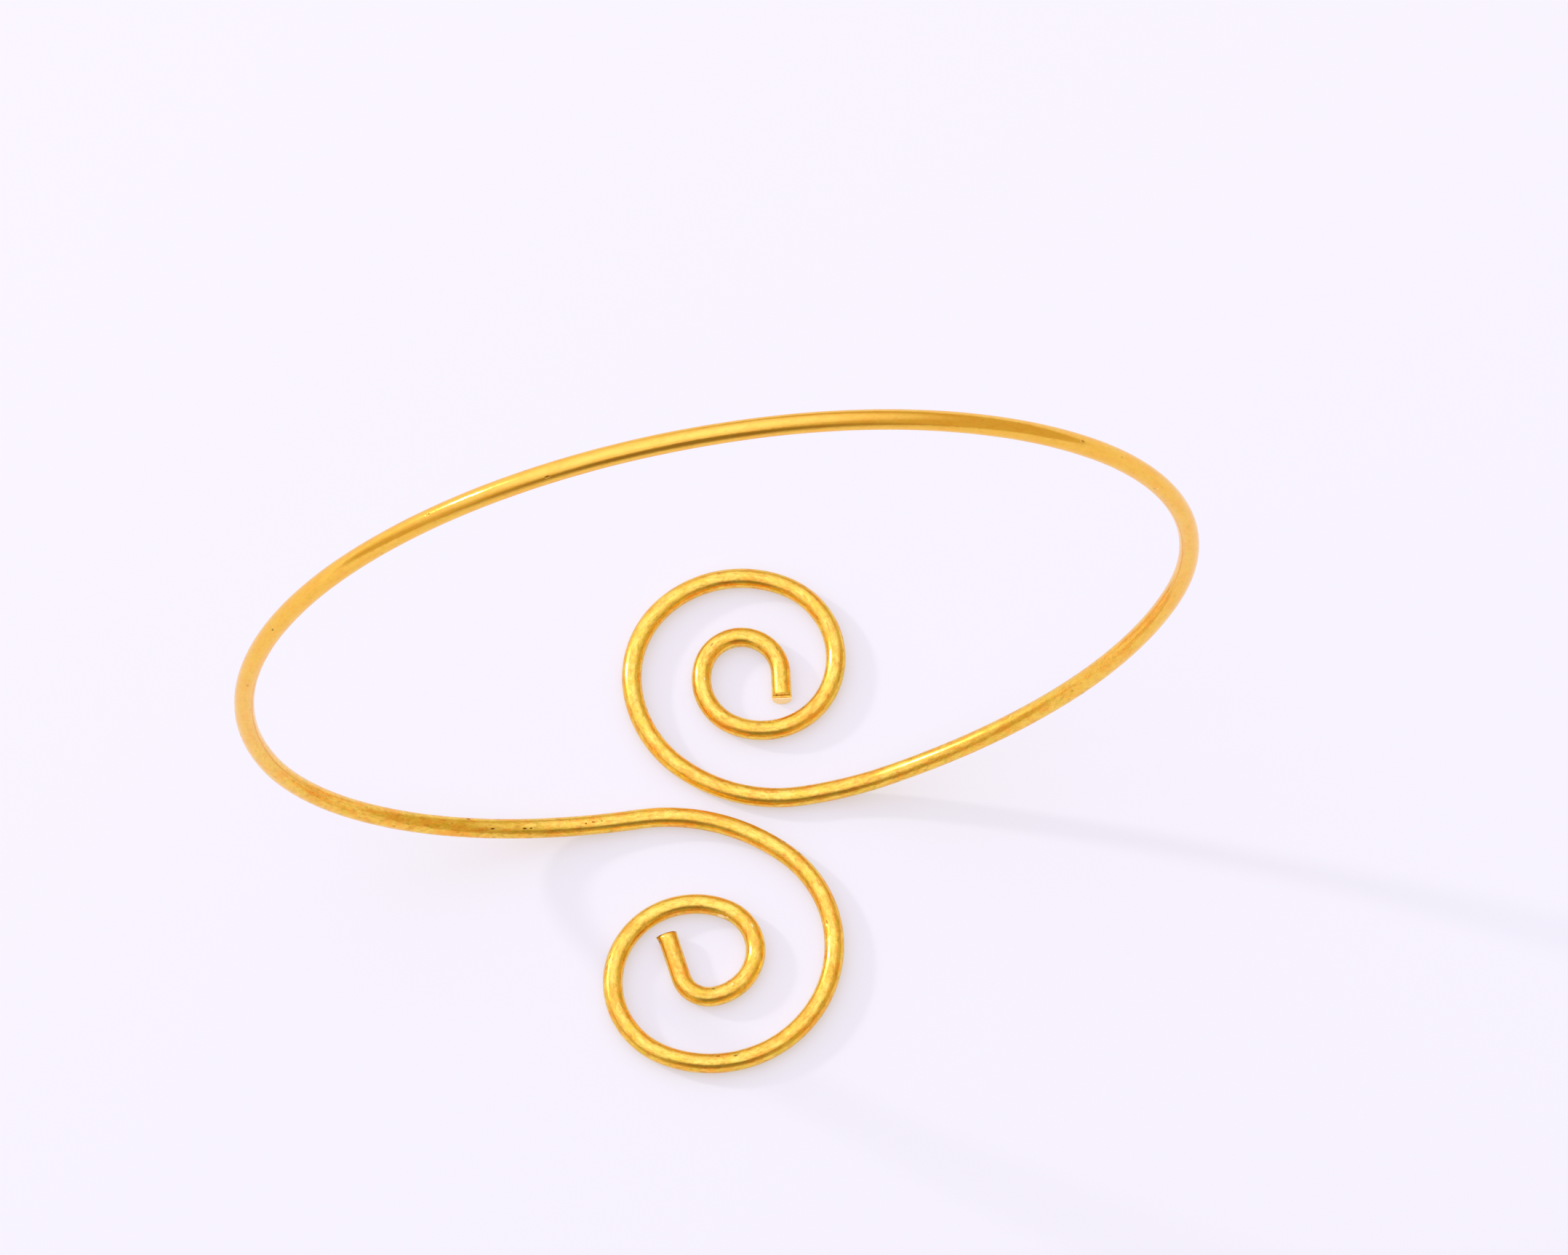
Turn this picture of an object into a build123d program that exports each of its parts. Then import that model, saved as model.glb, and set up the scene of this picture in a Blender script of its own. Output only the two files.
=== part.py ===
from build123d import *
from math import cos, radians, tan
import os

# A spiral bracelet for the upper arm, bent from one length of round brass wire. The hoop stands up, and its
# two ends pass each other at its foot and curl into two flat scrolls that lie on the surface.
# X runs across the hoop, Y along the arm, Z up. Lengths are in millimetres and angles in degrees, and every
# bend is measured on the wire's centre line.
wire_diameter = 1.6
hoop_height = 70.4
hoop_lean = 4.4
ends_gap = 1.3
lower_scroll_radius = 9.9
upper_scroll_radius = 9.0
cut_slant = 17.0

wire_radius = wire_diameter / 2

# Each half of the hoop, from its top down to its foot. The columns are the turn, and the bend's radius on
# the left and on the right as a share of half the hoop's height.
HOOP_BENDS = [
    (50, 1.15, 1.02),
    (55, 1.07, 0.89),
    (50, 0.84, 1.22),
    (25, 0.88, 0.44),
]

# Each scroll from outside to inside. The columns are the turn and the bend's radius. The first bend is where
# the two ends pass each other, and its radius is a share of both first radii together. The others are shares
# of that scroll's radius, and so is the length of the last row, a straight stub with no turn.
LOWER_SCROLL = [
    (45, 0.55),
    (45, 0.97),
    (60, 1.00),
    (60, 1.00),
    (90, 0.665),
    (90, 0.67),
    (90, 0.375),
    (60, 0.41),
    (81, 0.23),
    (0, 0.38),
]
UPPER_SCROLL = [
    (45, 0.45),
    (45, 1.10),
    (60, 0.92),
    (60, 1.02),
    (90, 0.74),
    (90, 0.655),
    (90, 0.475),
    (60, 0.35),
    (96, 0.35),
    (0, 0.245),
]


def half_hoop(column):
    """Return one half of the hoop as rows of turn and radius that come down by the hoop's height."""
    turned = 0
    drop = 0
    for row in HOOP_BENDS:
        before = turned
        turned += row[0]
        drop += row[column] * (cos(radians(before)) - cos(radians(turned)))
    return [(row[0], row[column] * hoop_height / drop) for row in HOOP_BENDS]


def scroll(table, first_radii, scroll_radius):
    """Return one scroll as rows of turn and radius."""
    units = [first_radii] + [scroll_radius] * (len(table) - 1)
    return [(turn, share * unit) for (turn, share), unit in zip(table, units)]


def bend(start, tangent, bends, side):
    """Draw bends to the left (1) or the right (-1), each in line with the one before, and return the last."""
    for turn, radius in bends:
        if turn:
            line = JernArc(start, tangent, radius, side * turn)
        else:
            line = Line(start, start + radius * tangent)
        start = line @ 1
        tangent = line % 1
    return line


# The hoop stands on the plane of the scrolls' centre line and leans back from the lower scroll.
hoop_plane = Plane(origin=(0, 0, wire_radius), x_dir=(1, 0, 0), z_dir=(0, -1, 0)).rotated((-hoop_lean, 0, 0))

with BuildLine(hoop_plane) as hoop:
    left_foot = bend((0, hoop_height), (-1, 0), half_hoop(1), 1)
    right_foot = bend((0, hoop_height), (1, 0), half_hoop(2), -1)

# Two arcs that leave the feet towards each other and curve apart keep the ends' gap between them, if their
# radii add up to this sum.
feet_spacing = (right_foot @ 1 - left_foot @ 1).length
ends_pitch = wire_diameter + ends_gap
first_radii = (feet_spacing**2 - ends_pitch**2) / (2 * ends_pitch)
lower_bends = scroll(LOWER_SCROLL, first_radii, lower_scroll_radius)
upper_bends = scroll(UPPER_SCROLL, first_radii, upper_scroll_radius)

# The upper stub ends in a slanted cut, so its wire first runs on until the cut crosses all of it.
cut_reach = wire_radius * tan(radians(cut_slant))

with BuildLine(Plane.XY.offset(wire_radius)) as scrolls:
    bend(left_foot @ 1, left_foot % 1, lower_bends, -1)
    upper_end = bend(right_foot @ 1, right_foot % 1, upper_bends, -1)
    Line(upper_end @ 1, upper_end @ 1 + cut_reach * (upper_end % 1))

# The whole bracelet stands over the middle of its box.
middle = (hoop.line + scrolls.line).bounding_box().center()
to_middle = Location((-middle.X, -middle.Y, 0))

with BuildPart() as bracelet_wire:
    with BuildLine() as centre_line:
        add(hoop.line.moved(to_middle))
        add(scrolls.line.moved(to_middle))
    path = centre_line.wires()[0]
    with BuildSketch(Plane(origin=path @ 0, z_dir=path % 0)):
        Circle(wire_radius)
    sweep(path=path)
    # The upper end is bitten off with its underside standing out.
    outward = path % 1
    tip = Plane(origin=path @ 1 - cut_reach * outward, x_dir=Vector(0, 0, 1).cross(outward), z_dir=outward)
    with BuildSketch(tip.rotated((-cut_slant, 0, 0))):
        Circle(wire_diameter)
    extrude(amount=2 * cut_reach, mode=Mode.SUBTRACT)
bracelet_wire.part.label = "bracelet_wire"

os.makedirs("parts", exist_ok=True)
export_step(bracelet_wire.part, "parts/bracelet_wire.step")
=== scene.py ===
"""A spiral bracelet for the upper arm, made from one length of raw brass wire: cut, marked and bent."""

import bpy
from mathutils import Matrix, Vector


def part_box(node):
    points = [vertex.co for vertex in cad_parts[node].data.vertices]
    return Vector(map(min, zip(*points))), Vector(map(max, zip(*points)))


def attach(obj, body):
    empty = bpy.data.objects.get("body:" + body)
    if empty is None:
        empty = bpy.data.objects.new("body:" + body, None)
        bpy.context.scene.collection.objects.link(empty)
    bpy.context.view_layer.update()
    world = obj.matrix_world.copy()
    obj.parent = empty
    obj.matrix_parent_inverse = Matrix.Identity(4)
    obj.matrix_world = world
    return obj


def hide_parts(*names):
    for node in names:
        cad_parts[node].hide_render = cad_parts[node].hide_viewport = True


bl_info = {
    "name": "Spiral wire bracelet",
    "version": (1, 0, 0),
    "blender": (4, 5, 0),
    "location": "View3D > Sidebar > Bracelet",
    "description": "Bends an upper arm bracelet with two scrolls from brass wire, and lights it on a table",
    "category": "Object",
}

from bisect import bisect_right
from math import atan2, cos, hypot, pi, radians, sin, tan
from random import Random

import bmesh
import bpy
from mathutils import Matrix, Vector, noise

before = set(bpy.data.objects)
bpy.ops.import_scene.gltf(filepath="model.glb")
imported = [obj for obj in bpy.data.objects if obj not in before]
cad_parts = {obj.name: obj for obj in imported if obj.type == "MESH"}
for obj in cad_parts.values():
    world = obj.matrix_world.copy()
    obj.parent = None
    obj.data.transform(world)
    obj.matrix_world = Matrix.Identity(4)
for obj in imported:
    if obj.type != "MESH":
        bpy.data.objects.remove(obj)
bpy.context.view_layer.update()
MM = 0.001
WIRE_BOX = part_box("bracelet_wire")
UP = Vector((0, 0, 1))

# The point on the table that the camera looks at, and how far the table reaches.
LOOKED_AT = Vector((7.149, 15.774, 0)) * MM
TABLE_REACH = 4.0

# The small lamp: which way it is from the bracelet, how far away, and how wide.
LAMP = Vector((-0.76, 0.50, 0.42))
LAMP_DISTANCE = 1.5
LAMP_WIDTH = 0.12

# Which way the two broad lights are from the bracelet, and their tints.
OVERHEAD = Vector((-0.25, 0.25, 1))
BACK_LEFT = Vector((-1, 1, 0))
COOL = (0.97, 1.0, 1.42)
WHITE = (1, 1, 1)

# The dim card in front of the bracelet: its middle, half its side, how far out it has faded away sideways and
# upwards, and the share of that way at which it starts to fade.
CARD = Vector((-16, -150, 118)) * MM
CARD_REACH = 170 * MM
CARD_FADED_SIDEWAYS = 150 * MM
CARD_FADED_UPWARDS = 125 * MM
CARD_FADES_FROM = 0.30

# Where the hoop's top is along the wire, how far from there its brass is lighter and even, and from where it
# is as mottled as the scrolls.
HOOP_TOP = 189.3 * MM
EVEN_REACH = 60 * MM
MOTTLED_FROM = 95 * MM

# How far round a mark the mesh is divided, in millimetres, how many cuts each edge gets there, and how many
# small nicks are spread over the wire.
MARK_MARGIN = 0.15
MARK_CUTS = 3
SMALL_NICKS = 50

# How far from the upper end the slanting cut stays, and as shares of the wire's radius, how near to a cut a
# corner counts as on it, and how high in an end the cutter's jaws meet.
CUT_REACH = 2 * MM
ON_CUT = 0.001
JAWS_MEET = 0.05

# How far from an end the jaws flatten the wire, by what share they press it down and out there, and how far
# from the lower end they push out a burr.
PINCH_REACH = 0.9 * MM
PINCHED_DOWN = 0.04
PINCHED_OUT = 0.01
BURR_REACH = 0.6 * MM

# Lengths of the shallow dents in the wire, and how much closer the short ones lie round it.
LONG_DENT = 6 * MM
SHORT_DENT = 1.3 * MM
SHORT_DENT_ROUND = 1.6

# Sizes across the wire of what shows in its brass, and the scales along and across the wire that draw out its
# patches and its lines.
OLIVE_PATCH = 0.6 * MM
WARM_PATCH = 0.8 * MM
SPECK_SPACING = 0.8 * MM
SPECK_GROUP = 5 * MM
GRAIN_SIZE = 0.24 * MM
DIE_LINE = 0.14 * MM
PATCH_STRETCH = (0.45, 1, 1)
LINE_STRETCH = (0.012, 1, 1)

# The colour mixer has several sockets of each name, so its colour sockets are used by number.
MIX_FACTOR = 0
MIX_FIRST = 6
MIX_SECOND = 7
MIX_RESULT = 2

# Each half of the hoop, from its top down to its foot: the turn in degrees, and the bend's radius on the left
# and on the right, in shares that are scaled until the half comes down by the hoop's height.
HOOP_BENDS = [
    (50, 1.15, 1.02),
    (55, 1.07, 0.89),
    (50, 0.84, 1.22),
    (25, 0.88, 0.44),
]

# The columns of that table that hold the radii on the left and on the right.
LEFT = 1
RIGHT = 2

# Each scroll from outside to inside: the turn in degrees and the bend's radius. The first radius is a share
# of both first radii together, the others are shares of that scroll's radius, and so is the length of the
# last row, a straight stub with no turn.
LOWER_SCROLL = [
    (45, 0.55),
    (45, 0.97),
    (60, 1.00),
    (60, 1.00),
    (90, 0.665),
    (90, 0.67),
    (90, 0.375),
    (60, 0.41),
    (81, 0.23),
    (0, 0.38),
]
UPPER_SCROLL = [
    (45, 0.45),
    (45, 1.10),
    (60, 0.92),
    (60, 1.02),
    (90, 0.74),
    (90, 0.655),
    (90, 0.475),
    (60, 0.35),
    (96, 0.35),
    (0, 0.245),
]

# The side of its heading that a bend turns to, seen with the bending axis pointing at the eye.
TO_LEFT = 1
TO_RIGHT = -1

# What the cutter's jaws leave across an end, from its top to its underside: the height as a share of the
# wire's radius, and how far that line stands out of the cut, in millimetres.
UPPER_CUT = [
    (1.00, 0.00),
    (0.60, -0.02),
    (0.44, 0.04),
    (0.30, -0.07),
    (0.20, 0.03),
    (0.10, -0.08),
    (0.02, 0.06),
    (-0.06, 0.06),
    (-0.16, -0.01),
    (-1.00, 0.00),
]
LOWER_CUT = [
    (1.00, 0.00),
    (0.30, 0.02),
    (0.08, 0.09),
    (0.00, 0.09),
    (-0.30, 0.01),
    (-1.00, 0.00),
]

# Marks pressed into the wire: how far they are from the lower end in millimetres, where round the wire in
# degrees from its top towards its left, their length, width and depth in millimetres, and how much dirt sits
# in them. A mark with no dirt shows bare metal.
MARKS = [
    (88.10, 20, 0.34, 0.13, 0.07, 1),
    (87.55, 20, 0.22, 0.11, 0.05, 1),
    (90.90, 22, 0.40, 0.14, 0.02, 1),
    (82.90, 8, 0.14, 0.13, 0.05, 1),
    (82.30, 4, 0.30, 0.09, 0.02, 1),
    (81.60, 2, 0.12, 0.10, 0.03, 1),
    (24.30, 50, 0.30, 0.10, 0.015, 0.5),
    (23.20, 52, 0.20, 0.10, 0.015, 0.4),
    (344.8, -50, 0.26, 0.16, 0.05, 1),
    (17.20, 74, 0.75, 0.42, 0.04, 0),
    (16.60, 66, 0.30, 0.26, 0.03, 0),
]


def linear(hex_colour):
    """Turn an sRGB hex colour into linear red, green and blue."""
    channels = [int(hex_colour[i:i + 2], 16) / 255 for i in (0, 2, 4)]
    return [c / 12.92 if c <= 0.04045 else ((c + 0.055) / 1.055) ** 2.4 for c in channels]


def length_property(name, description, default):
    """Declare a length that the panel shows with its unit."""
    return bpy.props.FloatProperty(
        name=name, description=description, default=default, min=0.0, precision=5, unit="LENGTH",
        subtype="DISTANCE")


def angle_property(name, description, degrees):
    """Declare an angle that the panel shows in degrees."""
    return bpy.props.FloatProperty(
        name=name, description=description, default=radians(degrees), unit="ROTATION", subtype="ANGLE")


def amount_property(name, description, default):
    """Declare an amount without a unit, from nothing upwards."""
    return bpy.props.FloatProperty(name=name, description=description, default=default, min=0.0)


def colour_property(name, description, hex_colour):
    """Declare a colour that the panel shows as a swatch."""
    return bpy.props.FloatVectorProperty(
        name=name, description=description, default=linear(hex_colour), size=3, min=0.0, max=1.0,
        subtype="COLOR")


class BRACELET_PG_wire(bpy.types.PropertyGroup):
    """Sizes of the wire and of its bends."""
    diameter: length_property("Wire", "Thickness of the round wire", 1.6 * MM)
    hoop_height: length_property("Hoop", "Height of the hoop between the wire's centre lines", 70.4 * MM)
    lean: angle_property("Lean", "How far the hoop's top leans back from the lower scroll", 4.4)
    ends_gap: length_property("Ends' gap", "Clear gap where the two ends pass each other", 1.3 * MM)
    lower_radius: length_property("Lower scroll", "Radius of the lower scroll's outer turn", 9.9 * MM)
    upper_radius: length_property("Upper scroll", "Radius of the upper scroll's outer turn", 9.0 * MM)
    cut_slant: angle_property("Cut slant", "How far the upper end's cut leans out at its underside", 17.0)
    ring_step: length_property("Ring step", "Distance between two rings of the wire's mesh", 0.25 * MM)
    sides: bpy.props.IntProperty(name="Sides", description="Corners of each ring", default=48, min=8)
    unevenness: length_property("Unevenness", "Depth of the shallow dents from bending by hand", 0.02 * MM)
    burr: length_property("Burr", "How far the cutter pushed out one edge of the lower end", 0.1 * MM)


class BRACELET_PG_brass(bpy.types.PropertyGroup):
    """Colours of the raw brass."""
    bright: colour_property("Bright", "Rubbed brass", "FFD65E")
    warm: colour_property("Warm", "Brass that has turned a little orange", "FFAE40")
    olive: colour_property("Olive", "Brass with a thin greenish tarnish", "ECC442")
    pit: colour_property("Pit", "Dark dirt in the pits", "85591F")
    bared: colour_property("Bared", "Fresh metal where the wire was cut or nicked", "FFE0A0")


class BRACELET_PG_stage(bpy.types.PropertyGroup):
    """The table, the lights, the card and the camera."""
    table: colour_property("Table", "Pale surface under the bracelet", "B1AFB1")
    distance: length_property("Distance", "From the camera to the point that it looks at", 1.2)
    view_width: length_property("View width", "How wide the picture is at the point looked at", 0.12636)
    elevation: angle_property("Elevation", "How steeply the camera looks down", 70.0)
    azimuth: angle_property("Azimuth", "How far the camera stands to the left", 8.624)
    glow: amount_property("Glow", "Brightness of the table by itself, as a light table has", 1.0)
    lamp: amount_property("Lamp", "Brightness of the small lamp at the back left", 215.0)
    overhead: amount_property("Overhead", "Brightness of the broad soft light overhead", 1.42)
    back_left: amount_property("Back left", "Brightness of the wall at the back left", 1.12)
    card: amount_property("Card", "Brightness of the dim card in front", 0.29)
    walls: amount_property("Walls", "Brightness of the other walls", 0.68)
    paint: colour_property("Paint", "Colour of the other walls and of the card", "FFE9BC")


def add_node(owner, kind, links=(), **settings):
    """Add a node to a material or a world, and give each socket in links its value or what feeds it."""
    tree = owner.node_tree
    node = tree.nodes.new(kind)
    for name, value in settings.items():
        setattr(node, name, value)
    for socket, value in dict(links).items():
        if isinstance(value, bpy.types.NodeSocket):
            tree.links.new(value, node.inputs[socket])
        else:
            node.inputs[socket].default_value = value
    return node


def half_hoop(column, height):
    """Return one half of the hoop, from top to foot, as rows of turn and radius that add up to its height."""
    turned = 0
    drop = 0
    for row in HOOP_BENDS:
        before = turned
        turned += row[0]
        drop += row[column] * (cos(radians(before)) - cos(radians(turned)))
    return [(row[0], row[column] * height / drop) for row in HOOP_BENDS]


def foot_reach(half):
    """Return how far a half hoop's foot stands out from under its top."""
    turned = 0
    reach = 0
    for turn, radius in half:
        before = turned
        turned += turn
        reach += radius * (sin(radians(turned)) - sin(radians(before)))
    return reach


def scroll(table, first_radii, scroll_radius):
    """Return one scroll, from outside to inside, as rows of turn and radius."""
    units = [first_radii] + [scroll_radius] * (len(table) - 1)
    return [(turn, share * unit) for (turn, share), unit in zip(table, units)]


def wire_bends(wire):
    """Return all bends from the lower end to the upper one, as rows of axis, side, turn and radius."""
    left = half_hoop(LEFT, wire.hoop_height)
    right = half_hoop(RIGHT, wire.hoop_height)
    pitch = wire.diameter + wire.ends_gap
    feet_spacing = abs(foot_reach(left) + foot_reach(right))
    first_radii = (feet_spacing ** 2 - pitch ** 2) / (2 * pitch)
    lower = scroll(LOWER_SCROLL, first_radii, wire.lower_radius)
    upper = scroll(UPPER_SCROLL, first_radii, wire.upper_radius)
    facing = Vector((0, -cos(wire.lean), sin(wire.lean)))
    rows = [(UP, TO_LEFT, turn, radius) for turn, radius in reversed(lower)]
    rows += [(facing, TO_RIGHT, turn, radius) for turn, radius in reversed(left)]
    rows += [(facing, TO_RIGHT, turn, radius) for turn, radius in right]
    rows += [(UP, TO_RIGHT, turn, radius) for turn, radius in upper]
    return rows


class Stretch:
    """One bend of the wire, or a straight run: where it starts, and how to lay the wire in it."""

    def __init__(self, start, at, heading, top, bend):
        axis, side, turn, radius = bend
        self.start = start
        self.length = radius * radians(turn) if turn else radius
        self.at = at
        self.heading = heading
        self.top = top
        self.axis = axis
        self.swing = side * radians(turn)
        self.centre = at + side * radius * axis.cross(heading)

    def place(self, station):
        """Return where the wire's middle is at a station, its heading and the side that was its top."""
        if self.swing == 0:
            return self.at + (station - self.start) * self.heading, self.heading, self.top
        share = (station - self.start) / self.length
        turned = Matrix.Rotation(share * self.swing, 3, self.axis)
        return self.centre + turned @ (self.at - self.centre), turned @ self.heading, turned @ self.top


def wire_path(wire):
    """Return the whole wire's stretches, from the lower end to the upper one."""
    scroll_turn = sum(turn for turn, share in LOWER_SCROLL)
    first_heading = radians(180 - scroll_turn)
    start = 0.0
    at = Vector()
    heading = Vector((cos(first_heading), sin(first_heading), 0))
    top = UP.copy()
    path = []
    for bend in wire_bends(wire):
        stretch = Stretch(start, at, heading, top, bend)
        path.append(stretch)
        start += stretch.length
        at, heading, top = stretch.place(start)
    return path


def draw_wire(bm, wire, length):
    """Draw a straight round wire along X, open at both ends, with its rings one step apart."""
    lie_down = Matrix.Translation((length / 2, 0, 0)) @ Matrix.Rotation(radians(90), 4, "Y")
    bmesh.ops.create_cone(
        bm, cap_ends=False, segments=wire.sides, radius1=wire.diameter / 2, radius2=wire.diameter / 2,
        depth=length, matrix=lie_down)
    long_edges = [edge for edge in bm.edges if abs(edge.verts[0].co.x - edge.verts[1].co.x) > length / 2]
    cuts = round(length / wire.ring_step) - 1
    bmesh.ops.subdivide_edgering(bm, edges=long_edges, cuts=cuts, interp_mode="LINEAR")
    for face in bm.faces:
        face.smooth = True


def once_each(elements):
    """List mesh elements without repeats. A set would give them in another order in each run."""
    return list(dict.fromkeys(elements))


def cut_upper_end(bm, wire, length):
    """Cut the upper end off at its slant, and return the way that the cut faces."""
    radius = wire.diameter / 2
    slanted = Vector((cos(wire.cut_slant), 0, sin(wire.cut_slant)))
    near_end = [vert for vert in bm.verts if vert.co.x > length - CUT_REACH]
    faces = once_each(face for vert in near_end for face in vert.link_faces)
    edges = once_each(edge for face in faces for edge in face.edges)
    corners = once_each(vert for face in faces for vert in face.verts)
    bmesh.ops.bisect_plane(
        bm, geom=[*corners, *edges, *faces], dist=ON_CUT * radius, plane_co=(length, 0, 0),
        plane_no=slanted, clear_outer=True)
    return slanted


def stand_out(table, share):
    """Read a cut's table at one height, in a straight line between its rows."""
    for (high, high_out), (low, low_out) in zip(table, table[1:]):
        if low <= share <= high:
            return low_out + (high_out - low_out) * (share - low) / (high - low)
    return 0.0


def close_end(bm, wire, outward, table, halfway):
    """Close the end past the wire's half way with the ridges of its cut, and return the end's corners."""
    radius = wire.diameter / 2
    rim = [edge for edge in bm.edges if edge.is_boundary and edge.verts[0].co.dot(outward) > halfway]
    faces = bmesh.ops.edgeloop_fill(bm, edges=rim)["faces"]
    for share, out in table[1:-1]:
        corners = once_each(vert for face in faces for vert in face.verts)
        edges = once_each(edge for face in faces for edge in face.edges)
        cut = bmesh.ops.bisect_plane(
            bm, geom=[*corners, *edges, *faces], dist=ON_CUT * radius, plane_co=share * radius * UP,
            plane_no=UP)
        # Only the end's own faces stay in the list. New ones have no normal yet.
        faces = once_each(face for face in [*faces, *cut["geom"]] if isinstance(face, bmesh.types.BMFace))
        faces = [face for face in faces if face.normal.length == 0 or abs(face.normal.dot(outward)) > 0.5]
    for face in faces:
        face.smooth = False
    corners = once_each(vert for face in faces for vert in face.verts)
    for vert in corners:
        vert.co += stand_out(table, vert.co.z / radius) * MM * outward
    bmesh.ops.recalc_face_normals(bm, faces=faces)
    return corners


def mark_cells(marks):
    """Sort the marks by the whole millimetres of wire that each of them reaches."""
    cells = {}
    for mark in marks:
        station = mark[0]
        reach = mark[2] + MARK_MARGIN
        for cell in range(int(station - reach), int(station + reach) + 1):
            cells.setdefault(cell, []).append(mark)
    return cells


def mark_distance(mark, place, radius):
    """Return how far a place on the straight wire is from a mark, along and round it, in millimetres."""
    station, clock = mark[:2]
    turn = atan2(place.y, place.z) - radians(clock)
    turn = (turn + pi) % (2 * pi) - pi
    return abs(place.x / MM - station), abs(turn) * radius / MM


def divide_round_marks(bm, wire, marks):
    """Divide the wire's faces round each mark, so that they can take its shape, and keep the wire round."""
    radius = wire.diameter / 2
    cells = mark_cells(marks)
    edges = []
    for face in bm.faces:
        middle = face.calc_center_median()
        for mark in cells.get(int(middle.x / MM), ()):
            length, width = mark[2:4]
            along, round_it = mark_distance(mark, middle, radius)
            if along < length / 2 + MARK_MARGIN and round_it < width / 2 + MARK_MARGIN:
                edges.extend(face.edges)
    made = bmesh.ops.subdivide_edges(bm, edges=once_each(edges), cuts=MARK_CUTS, use_grid_fill=True)
    for vert in made["geom_inner"]:
        if isinstance(vert, bmesh.types.BMVert):
            vert.co.yz = vert.co.yz.normalized() * radius


def press_marks(bm, wire, marks, dirt, bared):
    """Press each mark into the wire, and note where it holds dirt and where it bares fresh metal."""
    radius = wire.diameter / 2
    cells = mark_cells(marks)
    for vert in bm.verts:
        place = vert.co.copy()
        for mark in cells.get(int(place.x / MM), ()):
            length, width, depth, dirty = mark[2:]
            along, round_it = mark_distance(mark, place, radius)
            # A mark is flat to half way out and slopes up to its rim. Its colour fades out just past the rim.
            away = hypot(along / length, round_it / width) * 2
            if away < 1:
                shape = min(1.0, 2 * (1 - away))
                vert.co.yz -= shape * depth * MM * place.yz.normalized()
            shown = min(1.0, max(0.0, 3.4 - 3 * away))
            vert[dirt] = max(vert[dirt], shown * dirty)
            if dirty == 0:
                vert[bared] = max(vert[bared], shown)


def small_nicks(wire_length):
    """Return rows of small nicks and pits spread over the whole wire, in the columns of the marks' table."""
    chance = Random(5)
    rows = []
    for count in range(SMALL_NICKS):
        station = chance.uniform(4, wire_length / MM - 4)
        clock = chance.uniform(-180, 180)
        length = chance.uniform(0.10, 0.35)
        width = chance.uniform(0.06, 0.13)
        depth = chance.uniform(0.003, 0.012)
        dirty = max(0.0, chance.uniform(-0.15, 0.3))
        rows.append((station, clock, length, width, depth, dirty))
    return rows


def make_uneven(bm, wire):
    """Dent the round wire a little all over, as bending by hand does, and never past its real thickness."""
    radius = wire.diameter / 2
    for vert in bm.verts:
        x, y, z = vert.co
        long_dents = noise.noise(Vector((x / LONG_DENT, y / radius, z / radius)))
        short_dents = noise.noise(
            Vector((x / SHORT_DENT, SHORT_DENT_ROUND * y / radius, SHORT_DENT_ROUND * z / radius)))
        depth = wire.unevenness * max(0.0, 0.5 + 0.5 * long_dents + 0.2 * short_dents)
        vert.co.yz *= 1 - depth / radius


def pinch_ends(bm, wire, length):
    """Flatten both ends a little between the cutter's jaws, and push out the lower end's burr."""
    radius = wire.diameter / 2
    for vert in bm.verts:
        from_end = min(vert.co.x, length - vert.co.x)
        if from_end < PINCH_REACH:
            share = (1 - max(0.0, from_end) / PINCH_REACH) ** 2
            vert.co.z *= 1 - PINCHED_DOWN * share
            vert.co.y *= 1 + PINCHED_OUT * share
        if vert.co.x < BURR_REACH and vert.co.y < 0:
            share = (1 - max(0.0, vert.co.x) / BURR_REACH) ** 2
            vert.co.y -= wire.burr * share * (-vert.co.y / radius) ** 3


def bend_wire(bm, path, radius):
    """Bend the straight wire along its path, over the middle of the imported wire's box."""
    starts = [stretch.start for stretch in path]
    placed = {}
    for vert in bm.verts:
        station = round(vert.co.x, 7)
        if station not in placed:
            placed[station] = path[max(0, bisect_right(starts, station) - 1)].place(station)
        middle, heading, top = placed[station]
        vert.co = middle + vert.co.y * top.cross(heading) + vert.co.z * top
    middles = [middle for middle, heading, top in placed.values()]
    shift = Vector()
    for axis in (0, 1):
        low = min(middle[axis] for middle in middles)
        high = max(middle[axis] for middle in middles)
        shift[axis] = (WIRE_BOX[0][axis] + WIRE_BOX[1][axis] - low - high) / 2
    shift.z = WIRE_BOX[0].z + radius - min(middle.z for middle in middles)
    bmesh.ops.translate(bm, verts=bm.verts, vec=shift)


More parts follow.
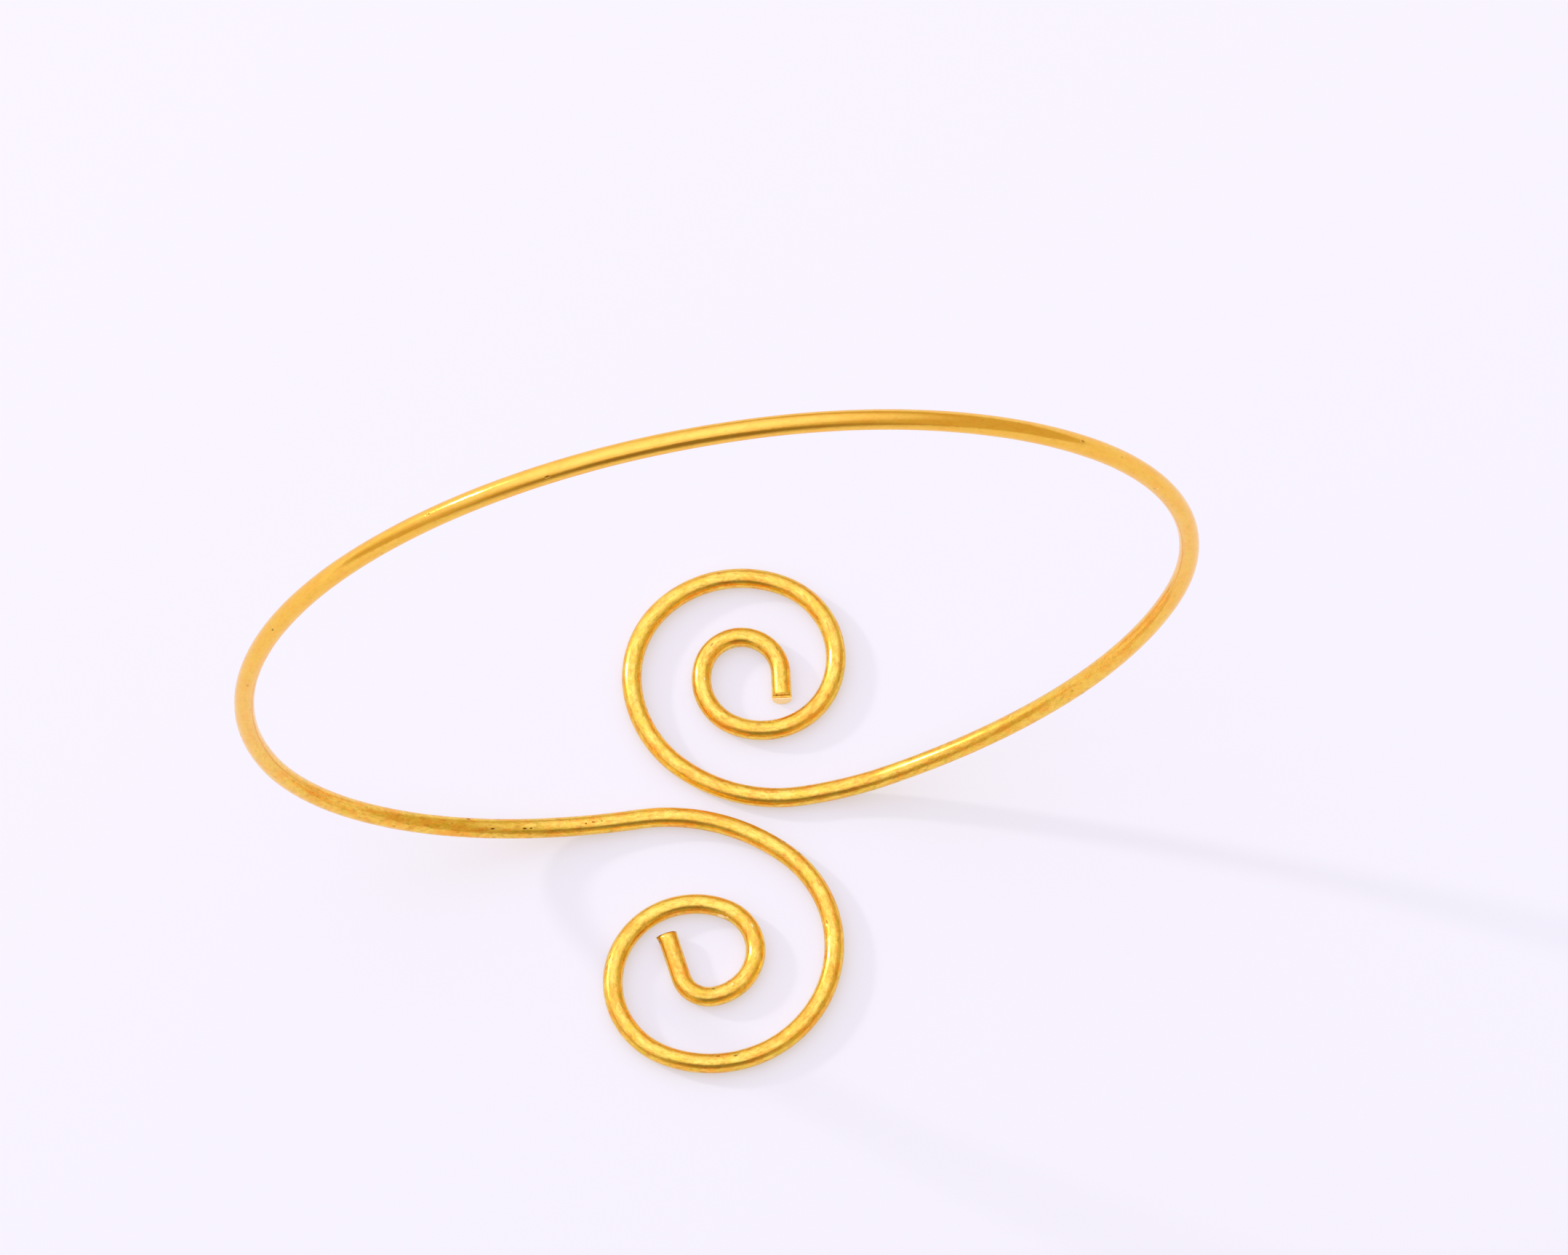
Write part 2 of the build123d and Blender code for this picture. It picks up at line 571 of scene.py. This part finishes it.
def raw_brass(colours):
    """Raw drawn brass: a warm gloss with fine lines along the wire, olive and orange tarnish, dark pits."""
    material = bpy.data.materials.new("raw_drawn_brass")
    material.use_nodes = True
    drawn = add_node(material, "ShaderNodeAttribute", attribute_name="as_drawn").outputs["Vector"]
    dirt = add_node(material, "ShaderNodeAttribute", attribute_name="dirt").outputs["Fac"]
    bared = add_node(material, "ShaderNodeAttribute", attribute_name="bared").outputs["Fac"]

    # Towards the hoop's top the brass is lighter, smoother and more even than on the scrolls, with less
    # tarnish and grain. Sockets 1 and 2 of a Map Range node are the values that it starts from, and 3 and 4
    # those that it turns them into.
    along = add_node(material, "ShaderNodeSeparateXYZ", {"Vector": drawn}).outputs["X"]
    past_top = add_node(material, "ShaderNodeMath", {0: along, 1: HOOP_TOP}, operation="SUBTRACT")
    off_top = add_node(material, "ShaderNodeMath", {0: past_top.outputs["Value"]}, operation="ABSOLUTE")
    mottled = add_node(
        material, "ShaderNodeMapRange",
        {"Value": off_top.outputs["Value"], 1: EVEN_REACH, 2: MOTTLED_FROM, 3: 0.25, 4: 1.0})
    coarse = add_node(
        material, "ShaderNodeMapRange",
        {"Value": off_top.outputs["Value"], 1: EVEN_REACH, 2: MOTTLED_FROM, 3: 0.6, 4: 1.0})

    # Tarnish lies in patches about a millimetre long, drawn out along the wire.
    patch_place = add_node(material, "ShaderNodeMapping", {"Vector": drawn, "Scale": PATCH_STRETCH})
    patches = patch_place.outputs["Vector"]
    olive_noise = add_node(
        material, "ShaderNodeTexNoise",
        {"Vector": patches, "Scale": 1 / OLIVE_PATCH, "Detail": 6, "Roughness": 0.8, "Distortion": 0.4})
    olive_share = add_node(
        material, "ShaderNodeMapRange",
        {"Value": olive_noise.outputs["Fac"], 1: 0.49, 2: 0.60, 3: 0.0, 4: 0.85})
    olive_kept = add_node(
        material, "ShaderNodeMath", {0: olive_share.outputs["Result"], 1: mottled.outputs["Result"]},
        operation="MULTIPLY")

    # The orange patches are read from another place in the noise, so that they don't follow the olive ones.
    warm_place = add_node(material, "ShaderNodeMapping", {"Vector": patches, "Location": (0.31, 0.17, 0.05)})
    warm_noise = add_node(
        material, "ShaderNodeTexNoise",
        {"Vector": warm_place.outputs["Vector"], "Scale": 1 / WARM_PATCH, "Detail": 6, "Roughness": 0.8})
    warm_share = add_node(
        material, "ShaderNodeMapRange",
        {"Value": warm_noise.outputs["Fac"], 1: 0.44, 2: 0.58, 3: 0.0, 4: 0.9})
    warm_kept = add_node(
        material, "ShaderNodeMapRange",
        {"Value": mottled.outputs["Result"], 3: 0.45, 4: warm_share.outputs["Result"]})

    # Specks of dirt, about 0.15 mm across, gather in loose groups.
    specks = add_node(material, "ShaderNodeTexVoronoi", {"Vector": patches, "Scale": 1 / SPECK_SPACING})
    speck_share = add_node(
        material, "ShaderNodeMapRange",
        {"Value": specks.outputs["Distance"], 1: 0.14, 2: 0.06, 3: 0.0, 4: 1.0})
    groups = add_node(
        material, "ShaderNodeTexNoise", {"Vector": drawn, "Scale": 1 / SPECK_GROUP, "Detail": 2})
    group_share = add_node(
        material, "ShaderNodeMapRange", {"Value": groups.outputs["Fac"], 1: 0.50, 2: 0.62, 3: 0.0, 4: 0.8})
    pits = add_node(
        material, "ShaderNodeMath", {0: speck_share.outputs["Result"], 1: group_share.outputs["Result"]},
        operation="MULTIPLY")
    dirty = add_node(material, "ShaderNodeMath", {0: pits.outputs["Value"], 1: dirt}, operation="MAXIMUM")

    # Fine grain shows away from the hoop's top and fades towards it. It is a few hundredths of a millimetre
    # across, and drawn several times coarser so that it shows.
    grain = add_node(
        material, "ShaderNodeTexNoise",
        {"Vector": patches, "Scale": 1 / GRAIN_SIZE, "Detail": 4, "Roughness": 0.65})
    grain_share = add_node(
        material, "ShaderNodeMapRange", {"Value": grain.outputs["Fac"], 1: 0.50, 2: 0.68, 3: 0.0, 4: 0.35})
    grain_kept = add_node(
        material, "ShaderNodeMath", {0: grain_share.outputs["Result"], 1: mottled.outputs["Result"]},
        operation="MULTIPLY")

    # Each layer lies over those before it: its share of the surface and its colour.
    colour = (*colours.bright, 1)
    layers = [
        (warm_kept.outputs["Result"], colours.warm),
        (olive_kept.outputs["Value"], colours.olive),
        (grain_kept.outputs["Value"], colours.pit),
        (bared, colours.bared),
        (dirty.outputs["Value"], colours.pit),
    ]
    for share, over in layers:
        mixed = add_node(
            material, "ShaderNodeMix", {MIX_FACTOR: share, MIX_FIRST: colour, MIX_SECOND: (*over, 1)},
            data_type="RGBA")
        colour = mixed.outputs[MIX_RESULT]

    # The die leaves lines a few hundredths of a millimetre apart along the wire, drawn coarser to show.
    line_place = add_node(material, "ShaderNodeMapping", {"Vector": drawn, "Scale": LINE_STRETCH})
    lines = add_node(
        material, "ShaderNodeTexNoise",
        {"Vector": line_place.outputs["Vector"], "Scale": 1 / DIE_LINE, "Detail": 3, "Roughness": 0.6})
    lines_bump = add_node(
        material, "ShaderNodeBump", {"Strength": 0.6, "Distance": 0.009 * MM, "Height": lines.outputs["Fac"]})
    grain_bump = add_node(
        material, "ShaderNodeBump",
        {"Strength": 0.6, "Distance": 0.014 * MM, "Height": grain.outputs["Fac"],
         "Normal": lines_bump.outputs["Normal"]})
    pit_bump = add_node(
        material, "ShaderNodeBump",
        {"Strength": 0.8, "Distance": 0.04 * MM, "Height": pits.outputs["Value"],
         "Normal": grain_bump.outputs["Normal"]}, invert=True)

    # The gloss is duller where the grain is strong and in dirt, and clearer towards the hoop's top.
    roughness = add_node(
        material, "ShaderNodeMapRange", {"Value": grain.outputs["Fac"], 1: 0.35, 2: 0.7, 3: 0.17, 4: 0.28})
    top_smoothed = add_node(
        material, "ShaderNodeMath", {0: roughness.outputs["Result"], 1: coarse.outputs["Result"]},
        operation="MULTIPLY")
    duller = add_node(
        material, "ShaderNodeMath", {0: dirty.outputs["Value"], 1: 0.3, 2: top_smoothed.outputs["Value"]},
        operation="MULTIPLY_ADD")

    shader = material.node_tree.nodes["Principled BSDF"]
    links = material.node_tree.links
    links.new(colour, shader.inputs["Base Color"])
    links.new(duller.outputs["Value"], shader.inputs["Roughness"])
    links.new(pit_bump.outputs["Normal"], shader.inputs["Normal"])
    shader.inputs["Metallic"].default_value = 1.0
    return material


def pale_board(colour, glow):
    """Matt white acrylic, lit through from below: an even pale surface with no gloss and light shadows."""
    material = bpy.data.materials.new("matt_white_acrylic")
    material.use_nodes = True
    shader = material.node_tree.nodes["Principled BSDF"]
    shader.inputs["Base Color"].default_value = (*colour, 1)
    shader.inputs["Roughness"].default_value = 0.9
    shader.inputs["Specular IOR Level"].default_value = 0.0
    shader.inputs["Emission Color"].default_value = (*colour, 1)
    shader.inputs["Emission Strength"].default_value = glow
    return material


def lit(tint, brightness):
    """Return a tint at a brightness, as a colour that a socket takes."""
    return (*(brightness * channel for channel in tint), 1)


def dim_card(brightness, paint):
    """A dim beige sheet that glows and fades at its edge, put in front of the bracelet as painted shade: the
    wire mirrors it as a dark line along its front.
    """
    material = bpy.data.materials.new("glowing_shade_card")
    material.use_nodes = True
    material.node_tree.nodes.clear()
    place = add_node(material, "ShaderNodeTexCoord").outputs["Object"]
    across = add_node(material, "ShaderNodeVectorMath", {0: place, 1: -CARD}, operation="ADD")
    spread = add_node(
        material, "ShaderNodeVectorMath",
        {0: across.outputs["Vector"], 1: (1 / CARD_FADED_SIDEWAYS, 0, 1 / CARD_FADED_UPWARDS)},
        operation="MULTIPLY")
    away = add_node(material, "ShaderNodeVectorMath", {0: spread.outputs["Vector"]}, operation="LENGTH")
    edge = add_node(
        material, "ShaderNodeMapRange", {"Value": away.outputs["Value"], 1: CARD_FADES_FROM, 2: 1.0})
    # The card's dim glow is painted shade, not a lamp and not a lit matt card.
    face = add_node(material, "ShaderNodeEmission", {"Color": lit(paint, brightness)})
    clear = add_node(material, "ShaderNodeBsdfTransparent")
    mixed = add_node(
        material, "ShaderNodeMixShader",
        {0: edge.outputs["Result"], 1: face.outputs["Emission"], 2: clear.outputs["BSDF"]})
    add_node(material, "ShaderNodeOutputMaterial", {"Surface": mixed.outputs["Shader"]})
    return material


def show(bm, name, material):
    """Turn a bmesh into an object with a material, and return the object."""
    mesh = bpy.data.meshes.new(name)
    bm.to_mesh(mesh)
    bm.free()
    mesh.materials.append(material)
    piece = bpy.data.objects.new(name, mesh)
    bpy.context.scene.collection.objects.link(piece)
    return piece


def lay_table(stage):
    """Lay the pale table under the bracelet."""
    bm = bmesh.new()
    bmesh.ops.create_grid(bm, x_segments=1, y_segments=1, size=TABLE_REACH)
    show(bm, "table", pale_board(stage.table, stage.glow))


def stand_card(stage):
    """Stand the dim card in front of the bracelet, where the wire mirrors it and no camera sees it."""
    bm = bmesh.new()
    upright = Matrix.Translation(CARD) @ Matrix.Rotation(radians(90), 4, "X")
    bmesh.ops.create_grid(bm, x_segments=1, y_segments=1, size=CARD_REACH, matrix=upright)
    card = show(bm, "dim_card", dim_card(stage.card, stage.paint))
    card.visible_camera = False


def hang_lamp(stage):
    """Hang the small round lamp that faces the bracelet, as bright at any width."""
    lamp = bpy.data.lights.new("lamp", "AREA")
    lamp.shape = "DISK"
    lamp.size = LAMP_WIDTH
    face = pi * LAMP_WIDTH ** 2 / 4
    lamp.energy = stage.lamp * pi * face
    light = bpy.data.objects.new("lamp", lamp)
    light.location = LAMP_DISTANCE * LAMP.normalized()
    light.rotation_euler = LAMP.to_track_quat("Z", "Y").to_euler()
    light.visible_camera = False
    bpy.context.scene.collection.objects.link(light)


def paint_room(stage):
    """Paint the studio: a broad light overhead, a bright wall at the back left, and warm walls round them."""
    world = bpy.data.worlds.new("studio_room")
    world.use_nodes = True
    bpy.context.scene.world = world
    direction = add_node(world, "ShaderNodeTexCoord").outputs["Generated"]
    # Each broad light: the way to its middle, the cosine of the angle from there at which it begins and of
    # that at which it is full, and its colour.
    broad_lights = [
        (BACK_LEFT, 0.66, 1.00, lit(WHITE, stage.back_left)),
        (OVERHEAD, 0.35, 0.97, lit(COOL, stage.overhead)),
    ]
    seen = lit(stage.paint, stage.walls)
    for towards, edge, full, colour in broad_lights:
        facing = add_node(
            world, "ShaderNodeVectorMath", {0: direction, 1: towards.normalized()}, operation="DOT_PRODUCT")
        share = add_node(world, "ShaderNodeMapRange", {"Value": facing.outputs["Value"], 1: edge, 2: full})
        mixed = add_node(
            world, "ShaderNodeMix",
            {MIX_FACTOR: share.outputs["Result"], MIX_FIRST: seen, MIX_SECOND: colour}, data_type="RGBA")
        seen = mixed.outputs[MIX_RESULT]
    world.node_tree.links.new(seen, world.node_tree.nodes["Background"].inputs["Color"])


def stand_camera(stage):
    """Stand the camera at the photograph's angle, where its picture is as wide as the photograph's view."""
    camera = bpy.data.cameras.new("camera")
    camera.sensor_fit = "HORIZONTAL"
    camera.lens = camera.sensor_width * stage.distance / stage.view_width
    stand = bpy.data.objects.new("camera", camera)
    level = cos(stage.elevation)
    looking = Vector((level * sin(stage.azimuth), level * cos(stage.azimuth), -sin(stage.elevation)))
    stand.location = LOOKED_AT - stage.distance * looking
    stand.rotation_euler = looking.to_track_quat("-Z", "Y").to_euler()
    bpy.context.scene.collection.objects.link(stand)
    bpy.context.scene.camera = stand


class BRACELET_OT_bend_wire(bpy.types.Operator):
    """Draw the brass wire, cut and mark it, and bend it into the bracelet"""
    bl_idname = "bracelet.bend_wire"
    bl_label = "Bend the wire"

    def execute(self, context):
        wire = context.scene.bracelet_wire
        radius = wire.diameter / 2
        path = wire_path(wire)
        length = path[-1].start + path[-1].length
        bm = bmesh.new()
        draw_wire(bm, wire, length + radius * tan(wire.cut_slant))
        slanted = cut_upper_end(bm, wire, length)
        marks = MARKS + small_nicks(length)
        divide_round_marks(bm, wire, marks)
        dirt = bm.verts.layers.float.new("dirt")
        bared = bm.verts.layers.float.new("bared")
        cut_corners = close_end(bm, wire, slanted, UPPER_CUT, length / 2)
        cut_corners += close_end(bm, wire, Vector((-1, 0, 0)), LOWER_CUT, -length / 2)
        # Below the line where the jaws meet, the metal is freshly sheared and bright.
        for vert in cut_corners:
            vert[bared] = 1.0 if vert.co.z < JAWS_MEET * radius else 0.0
        drawn = bm.verts.layers.float_vector.new("as_drawn")
        for vert in bm.verts:
            vert[drawn] = vert.co
        press_marks(bm, wire, marks, dirt, bared)
        make_uneven(bm, wire)
        pinch_ends(bm, wire, length)
        bend_wire(bm, path, radius)
        piece = show(bm, "bent_wire", raw_brass(context.scene.bracelet_brass))
        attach(piece, "root")
        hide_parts("bracelet_wire")
        return {"FINISHED"}


class BRACELET_OT_set_stage(bpy.types.Operator):
    """Lay the pale table, stand the dim card, light the studio and stand the camera"""
    bl_idname = "bracelet.set_stage"
    bl_label = "Set the stage"

    def execute(self, context):
        stage = context.scene.bracelet_stage
        lay_table(stage)
        stand_card(stage)
        hang_lamp(stage)
        paint_room(stage)
        stand_camera(stage)
        context.scene.view_settings.view_transform = "Standard"
        return {"FINISHED"}


class BRACELET_PT_panel(bpy.types.Panel):
    """The bracelet's sizes and colours, and the buttons that make it"""
    bl_idname = "BRACELET_PT_panel"
    bl_label = "Spiral wire bracelet"
    bl_space_type = "VIEW_3D"
    bl_region_type = "UI"
    bl_category = "Bracelet"

    def draw(self, context):
        scene = context.scene
        for group in (scene.bracelet_wire, scene.bracelet_brass, scene.bracelet_stage):
            column = self.layout.column(align=True)
            for name in group.__annotations__:
                column.prop(group, name)
        self.layout.operator(BRACELET_OT_bend_wire.bl_idname)
        self.layout.operator(BRACELET_OT_set_stage.bl_idname)


CLASSES = (
    BRACELET_PG_wire,
    BRACELET_PG_brass,
    BRACELET_PG_stage,
    BRACELET_OT_bend_wire,
    BRACELET_OT_set_stage,
    BRACELET_PT_panel,
)


def register():
    for entry in CLASSES:
        bpy.utils.register_class(entry)
    bpy.types.Scene.bracelet_wire = bpy.props.PointerProperty(type=BRACELET_PG_wire)
    bpy.types.Scene.bracelet_brass = bpy.props.PointerProperty(type=BRACELET_PG_brass)
    bpy.types.Scene.bracelet_stage = bpy.props.PointerProperty(type=BRACELET_PG_stage)


def unregister():
    del bpy.types.Scene.bracelet_stage
    del bpy.types.Scene.bracelet_brass
    del bpy.types.Scene.bracelet_wire
    for entry in reversed(CLASSES):
        bpy.utils.unregister_class(entry)


def main():
    register()
    bpy.ops.bracelet.bend_wire()
    bpy.ops.bracelet.set_stage()


if __name__ == "__main__":
    main()
